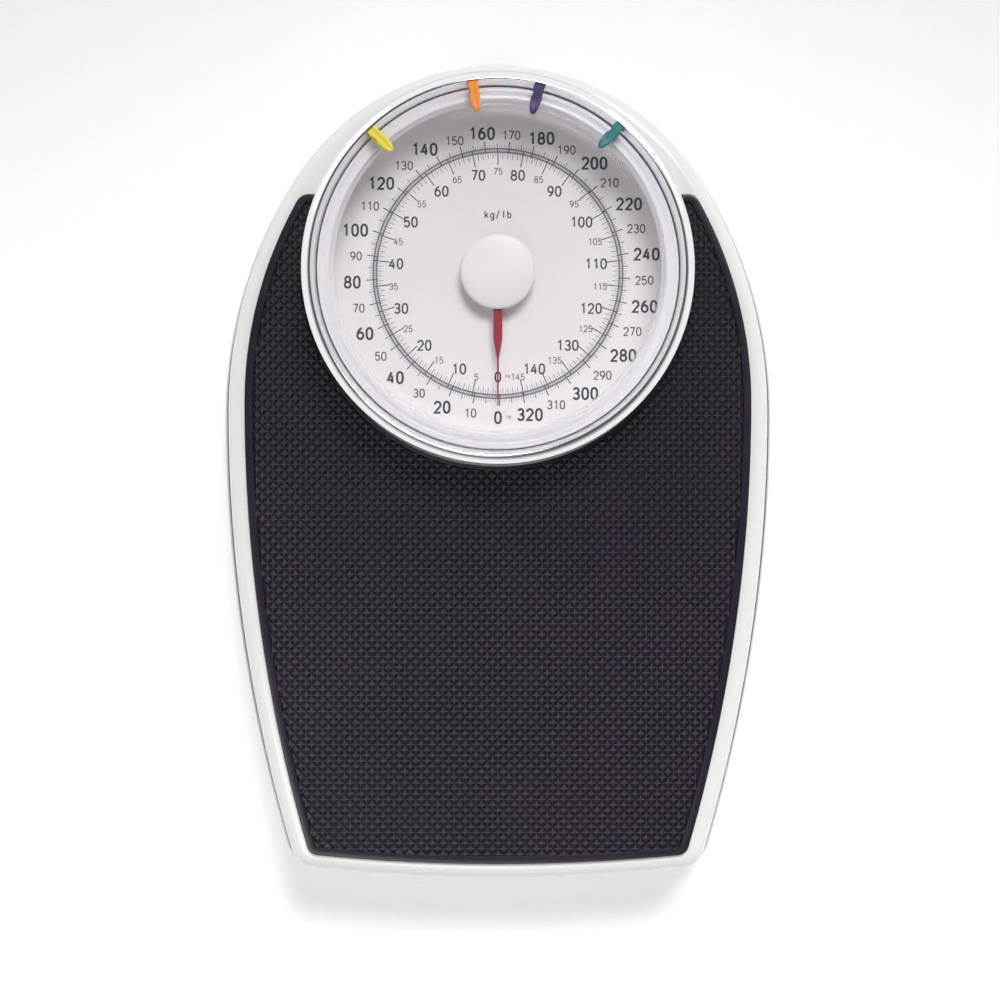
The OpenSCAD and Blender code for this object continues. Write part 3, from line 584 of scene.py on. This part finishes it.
def build_lens():
    z = LENS_Z
    under = [(0, z + 10.2), (25, z + 10.12), (50, z + 9.9), (65, z + 9.6), (76, z + 9.2), (80, z + 8.95)]
    bend_in = [(82.2, z + 8.5), (83.7, z + 7.5), (84.6, z + 5.9), (85.1, z + 4.0), (85.4, z + 2.0),
               (85.6, z + 0.03)]
    flange = [(93.7, z + 0.03), (94.0, z + 0.3), (94.0, z + 1.9), (93.7, z + 2.2), (92.2, z + 2.2),
              (92.0, z + 2.35), (91.6, z + 2.35), (91.4, z + 2.2), (88.6, z + 2.2)]
    bend_out = [(87.95, z + 2.6), (87.6, z + 4.2), (87.2, z + 6.6), (86.6, z + 8.4), (85.4, z + 9.9),
                (83.6, z + 10.8), (81.4, z + 11.15)]
    over = [(76, z + 11.42), (65, z + 11.8), (50, z + 12.2), (25, z + 12.42), (0, z + 12.5)]
    spare = 3                                       # clear faces past the end of each flat side
    edge_from = len(under) - 1 + spare
    edge_to = len(under) + len(bend_in) + len(flange) + len(bend_out) - 1 - spare
    bm = bmesh.new()
    revolve(bm, under + bend_in + flange + bend_out + over,
            mat_of=lambda k: 1 if edge_from <= k < edge_to else 0, closed=False)
    new_object("lens_clear_cover", bm, [lens_flat, lens_edge_painted_light], "platform", 40, ["dial_lens"])


def build_housing():
    bm = bmesh.new()
    z, top = H + 0.03, LENS_Z - 0.1
    flange = [(OPENING_R, z), (99, z), (99, z + 1.5), (94.4, z + 1.5)]
    seat = [(94.4, top - 0.2), (94.2, top), (88.6, top), (88.4, top - 0.2), (88.6, top - 1.5),
            (92, top - 3.1)]
    revolve(bm, flange + seat + [(92, z + 1.8), (OPENING_R, z + 1.8)])
    new_object("housing_cup", bm, housing_mat, "platform", 35, ["dial_housing"])


def build_face():
    bm = bmesh.new()
    hole_r, r, z = 4, 91.5, FACE_Z
    revolve(bm, [(hole_r, z - 1), (r - 0.2, z - 1), (r, z - 0.8), (r, z - 0.2), (r - 0.2, z), (hole_r, z)])
    new_object("face_disc", bm, face_mat, "platform", 35, ["dial_face"])


# Print on the dial: thin raised ink. A turn is in degrees clockwise from the foot end

INK_LOW, INK_HIGH = FACE_Z + 0.005, FACE_Z + 0.04
LB_PER_TURN = 330.693
KG_PER_TURN = 150
LOW_RING, HIGH_RING = 64.7, 66.5


def tick(bm, turn, r0, r1, w):
    a = math.radians(-90 - turn)
    ux, uy = math.cos(a), math.sin(a)
    px, py = -uy * w / 2, ux * w / 2
    quad = [(r0 * ux - px, DIAL_Y + r0 * uy - py), (r1 * ux - px, DIAL_Y + r1 * uy - py),
            (r1 * ux + px, DIAL_Y + r1 * uy + py), (r0 * ux + px, DIAL_Y + r0 * uy + py)]
    low = ring(bm, [(x, y, INK_LOW) for x, y in quad])
    top = ring(bm, [(x, y, INK_HIGH) for x, y in quad])
    bridge(bm, low, top)
    bm.faces.new(top)
    bm.faces.new(low[::-1])


def build_ticks():
    bm = bmesh.new()
    fine = bmesh.new()
    for lb in range(0, 331):
        turn = 360 * lb / LB_PER_TURN
        if lb % 10 == 0:
            tick(bm, turn, LOW_RING - 0.6, 70.4, 0.56)
        elif lb % 5 == 0:
            tick(bm, turn, HIGH_RING, 69.4, 0.4)
        else:
            tick(fine, turn, HIGH_RING, 68.5, 0.2)
    for half_kg in range(0, 2 * KG_PER_TURN):
        turn = 360 * half_kg / (2 * KG_PER_TURN)
        if half_kg % 10 == 0:
            tick(bm, turn, 57.8, HIGH_RING + 0.3, 0.54)
        elif half_kg % 2 == 0:
            tick(fine, turn, 61.2, LOW_RING, 0.3)
        else:
            tick(fine, turn, 62.4, LOW_RING, 0.18)
    new_object("dial_marks_main", bm, ink_dark, "platform", 0)
    new_object("dial_marks_fine", fine, ink_grey, "platform", 0)


def printed_ring(bm, r0, r1, z0, z1):
    revolve(bm, [(r0, z0), (r1, z0), (r1, z1), (r0, z1)])


def build_circles():
    """The two circles that the ticks stand on, and the lighter band between them."""
    w = 0.38
    bm = bmesh.new()
    for r in (LOW_RING, HIGH_RING):
        printed_ring(bm, r - w, r + w, FACE_Z + 0.01, FACE_Z + 0.05)
    new_object("dial_circles", bm, ink_line, "platform", 0)
    bm = bmesh.new()
    printed_ring(bm, LOW_RING, HIGH_RING, FACE_Z + 0.003, FACE_Z + 0.02)
    new_object("dial_band", bm, ink_band, "platform", 0)


def ellipse(cx, cy, rx, ry, a0, a1, n, power=1.0):
    """n + 1 points on an ellipse, angles in degrees; a power below 1 squares it off."""
    out = []
    for i in range(n + 1):
        t = math.radians(a0 + (a1 - a0) * i / n)
        c, q = math.cos(t), math.sin(t)
        out.append((cx + rx * math.copysign(abs(c) ** power, c), cy + ry * math.copysign(abs(q) ** power, q)))
    return out


def curve3(p, q, r, n=8):
    """n + 1 points on a quadratic curve from p to r, pulled towards q."""
    out = []
    for t in [i / n for i in range(n + 1)]:
        out.append(tuple((1 - t) ** 2 * a + 2 * t * (1 - t) * b + t * t * c for a, b, c in zip(p, q, r)))
    return out


def line(*pts):
    return list(pts), False


def loop(cx, cy, rx, ry, n, power=1.0):
    return ellipse(cx, cy, rx, ry, 0, 360, n, power)[:-1], True


def figures():
    """Centre lines of each figure in a box from -1 to 1 both ways, as (points, closed) strokes."""
    bowl = loop(0, -0.38, 1, 0.62, 24)
    tail = line(*curve3((-1, -0.38), (-0.98, 0.66), (0.55, 1)))
    nine = [([(-x, -y) for x, y in pts], closed) for pts, closed in (bowl, tail)]
    return {
        "0": [loop(0, 0, 1, 1, 28, 0.82)],
        "1": [line((-0.62, 0.56), (0.22, 1), (0.22, -1))],
        "2": [line(*ellipse(0, 0.42, 1, 0.58, 172, -28, 14), (-1, -1), (1, -1))],
        "3": [line(*ellipse(0, 0.52, 0.88, 0.48, 160, -90, 14),
                   *ellipse(0, -0.48, 1, 0.52, 90, -160, 14)[1:])],
        "4": [line((0.28, 1), (-1, -0.42), (1, -0.42)), line((0.42, 0.4), (0.42, -1))],
        "5": [line((0.85, 1), (-0.7, 1), (-0.84, 0.02), *ellipse(0, -0.36, 1, 0.64, 128, -155, 16))],
        "6": [bowl, tail],
        "7": [line((-1, 1), (1, 1), (-0.3, -1))],
        "8": [loop(0, 0.5, 0.84, 0.5, 22), loop(0, -0.46, 1, 0.54, 24)],
        "9": nine,
        "k": [line((-0.8, 1), (-0.8, -1)), line((0.75, 0.35), (-0.62, -0.42)),
              line((-0.15, -0.12), (0.85, -1))],
        "g": [loop(0, -0.35, 0.85, 0.62, 20),
              line((0.9, 0.3), (0.9, -1.1), *ellipse(0, -1.15, 0.9, 0.5, 0, -150, 8)[1:])],
        "l": [line((0, 1), (0, -1))],
        "b": [line((-0.85, 1), (-0.85, -1)), loop(0, -0.35, 0.85, 0.62, 20)],
        "/": [line((0.7, 1.1), (-0.7, -1.2))],
    }


FIGURES = figures()
FIGURE_WIDTH, FIGURE_ADVANCE = 0.60, 0.69       # for a height of 1


def stroke(bm, pts, closed, w, z0, z1):
    """A ribbon of width w along a centre line, from z0 to z1, with mitred corners."""
    n = len(pts)
    left, right = [], []
    for i in range(n):
        prev = pts[i - 1] if closed or i else None
        nxt = pts[(i + 1) % n] if closed or i < n - 1 else None
        dirs = []
        for p, q in ((prev, pts[i]), (pts[i], nxt)):
            if p and q:
                d = math.dist(p, q) or 1
                dirs.append(((q[0] - p[0]) / d, (q[1] - p[1]) / d))
        nx, ny = -sum(d[1] for d in dirs), sum(d[0] for d in dirs)
        ln = math.hypot(nx, ny) or 1
        nx, ny = nx / ln, ny / ln
        miter = min(1.9, 1 / max(0.3, abs(nx * -dirs[0][1] + ny * dirs[0][0])))
        k = w / 2 * miter
        left.append((pts[i][0] + nx * k, pts[i][1] + ny * k))
        right.append((pts[i][0] - nx * k, pts[i][1] - ny * k))
    rows = [[bm.verts.new((*l, z0)), bm.verts.new((*r, z0)), bm.verts.new((*r, z1)), bm.verts.new((*l, z1))]
            for l, r in zip(left, right)]
    for i in range(n if closed else n - 1):
        bridge(bm, rows[i], rows[(i + 1) % n])
    if not closed:
        bm.faces.new(rows[0])
        bm.faces.new(rows[-1][::-1])


def write(bm, text, x, y, h, weight):
    """Upright figures of height h centred on x, y, with strokes of weight times h."""
    w, s = FIGURE_WIDTH * h, weight * h
    for i, ch in enumerate(text):
        cx = x + (i - (len(text) - 1) / 2) * FIGURE_ADVANCE * h
        for k, (pts, closed) in enumerate(FIGURES[ch]):
            placed = [(cx + px * (w - s) / 2, y + py * (h - s) / 2) for px, py in pts]
            stroke(bm, placed, closed, s, INK_LOW, INK_HIGH + 0.004 * k)


def text_half(text, h):
    """Half the width and half the height of a text."""
    return (FIGURE_ADVANCE * (len(text) - 1) + FIGURE_WIDTH) * h / 2, h / 2


def beside(turn, radius, half, inward):
    """Centre of a text box that touches a circle of the given radius from outside or inside."""
    a = math.radians(-90 - turn)
    c, q = math.cos(a), math.sin(a)
    side = -1 if inward else 1
    hx = half[0] * max(-1, min(1, 1.7 * c)) * side
    hy = half[1] * q * abs(q) * side
    return radius * c + hx, DIAL_Y + radius * q + hy


def build_numbers():
    """Each group has its values, units per turn, circle radius and bulge to the sides, height and weight."""
    groups = [
        ("lb_big", range(0, 330, 20), LB_PER_TURN, 72.4, 0.8, 7.0, 0.165, False, ink_dark),
        ("lb_small", range(10, 330, 20), LB_PER_TURN, 72.4, 0.8, 4.9, 0.135, False, ink_grey),
        ("kg_big", range(0, 150, 10), KG_PER_TURN, 57.2, 1.2, 5.9, 0.15, True, ink_dark),
        ("kg_small", range(5, 150, 10), KG_PER_TURN, 57.2, 1.2, 3.7, 0.125, True, ink_grey),
    ]
    drop = 0.9                                      # all numbers sit a little towards the foot end
    for key, values, full, radius, bulge, h, weight, inward, mat in groups:
        bm = bmesh.new()
        for v in values:
            turn = 360 * v / full
            c = math.cos(math.radians(-90 - turn))
            x, y = beside(turn, radius + bulge * c * c, text_half(str(v), h), inward)
            write(bm, str(v), x, y - drop, h, weight)
        bmesh.ops.recalc_face_normals(bm, faces=bm.faces)
        new_object("dial_numbers_" + key, bm, mat, "platform", 0)


def build_units():
    bm = bmesh.new()
    write(bm, "kg", 5.2, DIAL_Y - 54.4, 1.9, 0.13)
    write(bm, "lb", 5.6, DIAL_Y - 76.4, 2.1, 0.13)
    write(bm, "kg/lb", 0, DIAL_Y + 31.5, 4.4, 0.15)
    bmesh.ops.recalc_face_normals(bm, faces=bm.faces)
    new_object("dial_units", bm, ink_grey, "platform", 0)


# Pointer with its collar, and the hub cap

def build_pointer():
    bm = bmesh.new()
    z, half_w = POINTER_Z, 2.35
    right = [(half_w, 0.0), (half_w, -34.5), (2.1, -36.5), (0.78, -44.4), (0.5, -46.0), (0.42, -66.2),
             (0.2, -66.6)]
    tail = [(-half_w, 15.4), (-1.8, 16), (1.8, 16), (half_w, 15.4)]
    outline = right + [(-x, y) for x, y in right[::-1]] + tail
    low = ring(bm, [(x, DIAL_Y + y, z) for x, y in outline])
    mid = ring(bm, [(x, DIAL_Y + y, z + 0.65) for x, y in outline])
    top = ring(bm, [(x * 0.9, DIAL_Y + y * 0.998, z + 0.8) for x, y in outline])
    bridge(bm, low, mid)
    bridge(bm, mid, top)
    bm.faces.new(top)
    bm.faces.new(low[::-1])
    revolve(bm, [(1.53, z + 0.82), (6.6, z + 0.82), (7, z + 0.95), (6.6, z + 1.0), (1.53, z + 1.0)], steps=64)
    bmesh.ops.recalc_face_normals(bm, faces=bm.faces)
    new_object("pointer_hand", bm, pointer_mat, "pointer", 30, ["pointer"])


def build_hub():
    bm = bmesh.new()
    z = POINTER_Z + 1.05
    dome = [(19.55, z), (19.75, z + 0.2), (19.8, z + 0.7), (19.65, z + 1.25), (19.2, z + 1.75),
            (18.4, z + 2.15), (17, z + 2.5), (14, z + 2.9), (10, z + 3.25), (5, z + 3.5), (0, z + 3.6)]
    revolve(bm, [(0, z)] + dome, steps=160, closed=False)
    new_object("hub_dome", bm, hub_mat, "pointer", 40, ["hub_cap"])


# Weight markers: clips that hook the lens flange and lie over its shoulder, each with a grooved back, a
# notch on one side and a pointed tip. The sections run inwards from the rim, as (r, height over the platform)

CLIP_TOP = [(96.5, 29.5), (96.3, 30.3), (93.5, 31.5), (90.5, 32.9), (88.0, 34.0), (86.0, 34.9), (84.0, 35.5),
            (82.0, 35.75), (80.6, 35.75), (79.8, 35.6), (79.4, 35.3)]
CLIP_LOW = [(96.4, 29.2), (96.2, 29.1), (94.1, 28.9), (93.7, 24.6), (88.5, 24.6), (87.9, 29.8), (84.4, 33.5),
            (82.0, 34.6), (80.6, 34.95), (79.8, 35.0), (79.4, 35.0)]
CLIP_HALF_W, CLIP_TIP_FROM, CLIP_NOTCH_AT = 2.55, 86, 90.5


def clip_half_width(r):
    if r > CLIP_TIP_FROM:
        return CLIP_HALF_W + 0.12 * math.sin((r - CLIP_TIP_FROM) / 10.5 * math.pi)
    return max(0.5, CLIP_HALF_W * math.sqrt(1 - ((CLIP_TIP_FROM - r) / 6.75) ** 2))


def clip_section(top, low):
    """A section across the clip, from one lower edge over the back to the other."""
    (rt, zt), (rl, zl) = top, low
    z = H + zt
    w, low_w = clip_half_width(rt), clip_half_width(rl)
    groove = 0.55 * min(1.0, max(0.0, (rt - 80.0) / 2.5)) * (1.0 if rt < 96 else 0.5)
    notch = 0.9 if abs(rt - CLIP_NOTCH_AT) < 0.1 else 0.0
    edge = [(w, z - 0.4), (w * 0.86, z - 0.08)]
    notched = [(w - notch, z - 0.4), ((w - notch) * 0.86, z - 0.08)]
    back = [(w * 0.62, z + 0.03), (w * 0.36, z - 0.05), (w * 0.2, z - groove)]
    plain_side = [(rt, -x, q) for x, q in edge + back]
    notched_side = [(rt, x, q) for x, q in (notched + back)[::-1]]
    return [(rl, -low_w, H + zl)] + plain_side + notched_side + [(rl, low_w, H + zl)]


def build_marker(key, angle):
    bm = bmesh.new()
    turn = Matrix.Translation((0, DIAL_Y, 0)) @ Matrix.Rotation(math.radians(angle + 90), 4, "Z")
    rings = [ring(bm, [turn @ Vector(p) for p in clip_section(top, low)])
             for top, low in zip(CLIP_TOP, CLIP_LOW)]
    for a, b in zip(rings, rings[1:]):
        bridge(bm, a, b)
    bm.faces.new(rings[0][::-1])
    bm.faces.new(rings[-1])
    bmesh.ops.recalc_face_normals(bm, faces=bm.faces)
    name = "marker_" + key
    new_object("clip_" + key, bm, marker_mats[key], name, 35, [name])


# Springs: a round wire along a coiled path in place of each CAD spring

def node_box(name):
    """A CAD node's bounding box in millimetres."""
    lo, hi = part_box(name)
    return [v / MM for v in lo], [v / MM for v in hi]


def round_wire(bm, path, radius):
    angles = [k * math.pi / 6 for k in range(12)]
    rings = []
    for i, p in enumerate(path):
        before, after = Vector(path[max(i - 1, 0)]), Vector(path[min(i + 1, len(path) - 1)])
        t = (after - before).normalized()
        u = t.cross(Vector((0.31, 0.22, 0.92)) if abs(t.z) < 0.8 else Vector((1, 0, 0))).normalized()
        v = t.cross(u)
        rings.append(ring(bm, [Vector(p) + radius * (math.cos(a) * u + math.sin(a) * v) for a in angles]))
    for r0, r1 in zip(rings, rings[1:]):
        bridge(bm, r0, r1)
    bm.faces.new(rings[0][::-1])
    bm.faces.new(rings[-1])
    bmesh.ops.recalc_face_normals(bm, faces=bm.faces)


def build_spring(name, path, wire, start, end):
    bm = bmesh.new()
    round_wire(bm, path, wire)
    ob = plain_object(name, bm)
    dress(ob, [spring_steel], 50)
    Vector(start) * MM
    Vector(end) * MM
    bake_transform(ob)
    return ob


def coiled(turns, per_turn, radius, low, high, place):
    """Points of a coil that climbs evenly between nearly flat ends; place turns (u, v, w) into a point."""
    flat, creep = 0.8, 0.1                          # flat turns; share of the climb spread over all turns
    out = []
    for i in range(turns * per_turn + 1):
        n = i / per_turn
        a = 2 * math.pi * n
        lift = min(max((n - flat) / (turns - 2 * flat), 0.0), 1.0)
        climb = (1 - creep) * lift + creep * n / turns
        out.append(place(radius * math.cos(a), radius * math.sin(a), low + (high - low) * climb))
    return out


def build_main_coil():
    lo, hi = node_box("main_spring")
    wire = 0.88
    room = 1.02                                     # under the spring anchor, for its lowest setting
    path = coiled(8, 32, (hi[0] - lo[0]) / 2 - wire - 0.02, lo[2] + wire + 0.05, hi[2] - wire - room,
                  lambda u, v, w: (u, SPRING_Y + v, w))
    start, end = (0, SPRING_Y, hi[2]), (0, SPRING_Y, lo[2])
    coil = build_spring("main_coil", path, wire, start, end)
    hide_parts("main_spring")


def build_rack_coil():
    """The return spring lies along y, with a straight hook at each end."""
    lo, hi = node_box("rack_spring")
    cx, cz, wire = (lo[0] + hi[0]) / 2, (lo[2] + hi[2]) / 2, 0.3
    r = (hi[0] - lo[0]) / 2 - wire
    y0, y1 = lo[1], hi[1]
    coil = coiled(18, 20, r, y0 + 3.2, y1 - 3.2, lambda u, v, w: (cx + u, w, cz + v))
    head = [(cx, y0 + 0.05, cz), (cx, y0 + 1.6, cz), (cx + 0.5 * r, y0 + 2.6, cz)]
    foot = [(cx + 0.5 * r, y1 - 2.6, cz), (cx, y1 - 1.6, cz), (cx, y1 - 0.05, cz)]
    start, end = (cx, y0 + 1, cz), (cx, y1 - 1, cz)
    ob = build_spring("rack_coil", head + coil + foot, wire, start, end)
    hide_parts("rack_spring")


# Finishes for the carried-over CAD nodes

FINISH = {
    foot_rubber: ["rubber_feet"],
    zinc: ["fulcrum_brackets", "spring_tower", "crank_bracket", "movement_bridge", "load_hangers",
           "long_lever_left", "long_lever_right", "short_lever_left", "short_lever_right",
           "calibration_plate"],
    steel: ["foot_rivets", "bracket_rivets", "tower_screws", "crank_pin", "bridge_screws", "hanger_rivets",
            "housing_screws", "long_pins_left", "long_pins_right", "short_pins_left", "short_pins_right",
            "lower_spring_plug", "spring_anchor", "adjusting_screw", "rack", "rack_pin"],
    brass: ["rack_guides", "spindle_cock", "spindle_bushes", "bell_crank", "pinion_spindle"],
    wheel_mat: ["zero_wheel"],
}

build_cover()
build_pan()
build_mat_sheet()
build_mat_pyramids()
build_bezel()
build_lens()
build_housing()
build_face()
build_ticks()
build_circles()
build_numbers()
build_units()
build_pointer()
build_hub()
for colour, angle in (("yellow", 42.8), ("orange", 7.7), ("purple", -12.9), ("teal", -40.8)):
    build_marker(colour, angle)
build_main_coil()
build_rack_coil()
for finish, names in FINISH.items():
    for n in names:
        nodes[n].data.materials.clear()
        nodes[n].data.materials.append(finish.m)


# Floor, world and lights, in metres. The world is bright below and at the horizon and dark overhead

FLOOR_HALF = 6.0
SKY = [(0.42, (1.0, 1.0, 1.0)), (0.60, (0.14, 0.14, 0.145)), (0.955, (0.14, 0.138, 0.145)),
       (0.985, (0.06, 0.048, 0.08))]

floor_me = bpy.data.meshes.new("floor")
floor_bm = bmesh.new()
bmesh.ops.create_grid(floor_bm, x_segments=1, y_segments=1, size=FLOOR_HALF)
floor_bm.to_mesh(floor_me)
floor_bm.free()
floor = bpy.data.objects.new("floor", floor_me)
bpy.context.scene.collection.objects.link(floor)
floor_mat = Mat("floor", (0.95, 0.95, 0.95), 0.9, Emission_Strength=0.17)
floor_mat.set("Emission Color", (1.0, 1.0, 1.0, 1.0))
floor_me.materials.append(floor_mat.m)

world = bpy.data.worlds.new("studio")
bpy.context.scene.world = world
world.use_nodes = True
tree = world.node_tree
background = tree.nodes["Background"]
background.inputs["Strength"].default_value = 1.0
sky_coord = tree.nodes.new("ShaderNodeTexCoord")
sky_split = tree.nodes.new("ShaderNodeSeparateXYZ")
sky_ramp = tree.nodes.new("ShaderNodeValToRGB")
stops = sky_ramp.color_ramp.elements
while len(stops) < len(SKY):
    stops.new(0.5)
for stop, (pos, level) in zip(stops, SKY):
    stop.position = pos
    stop.color = (*level, 1.0)
tree.links.new(sky_coord.outputs["Generated"], sky_split.inputs["Vector"])
tree.links.new(sky_split.outputs["Z"], sky_ramp.inputs["Fac"])
tree.links.new(sky_ramp.outputs["Color"], background.inputs["Color"])


def area(name, loc, target, size, power, spread=180):
    """A rectangular light aimed at a point; power in watts, spread in degrees."""
    d = bpy.data.lights.new(name, "AREA")
    d.shape = "RECTANGLE"
    d.size, d.size_y = size
    d.energy = power
    d.spread = math.radians(spread)
    o = bpy.data.objects.new(name, d)
    o.location = loc
    o.rotation_euler = (Vector(target) - Vector(loc)).to_track_quat("-Z", "Y").to_euler()
    bpy.context.scene.collection.objects.link(o)


area("key", (0.3, 0.92, 1.35), (0, -0.6, 0.05), (0.9, 0.6), 4.7, 64)
area("low_left", (-0.95, 0.95, 0.5), (0, -0.05, 0.05), (0.8, 0.3), 0.7)
area("low_right", (0.95, 0.95, 0.5), (0, -0.05, 0.05), (0.8, 0.3), 0.35)
area("foot_end", (-0.2, -0.55, 0.9), (0, -0.25, 0.0), (0.9, 0.3), 0.42, 60)
bpy.context.scene.view_settings.view_transform = "Standard"
bpy.context.scene.view_settings.look = "None"
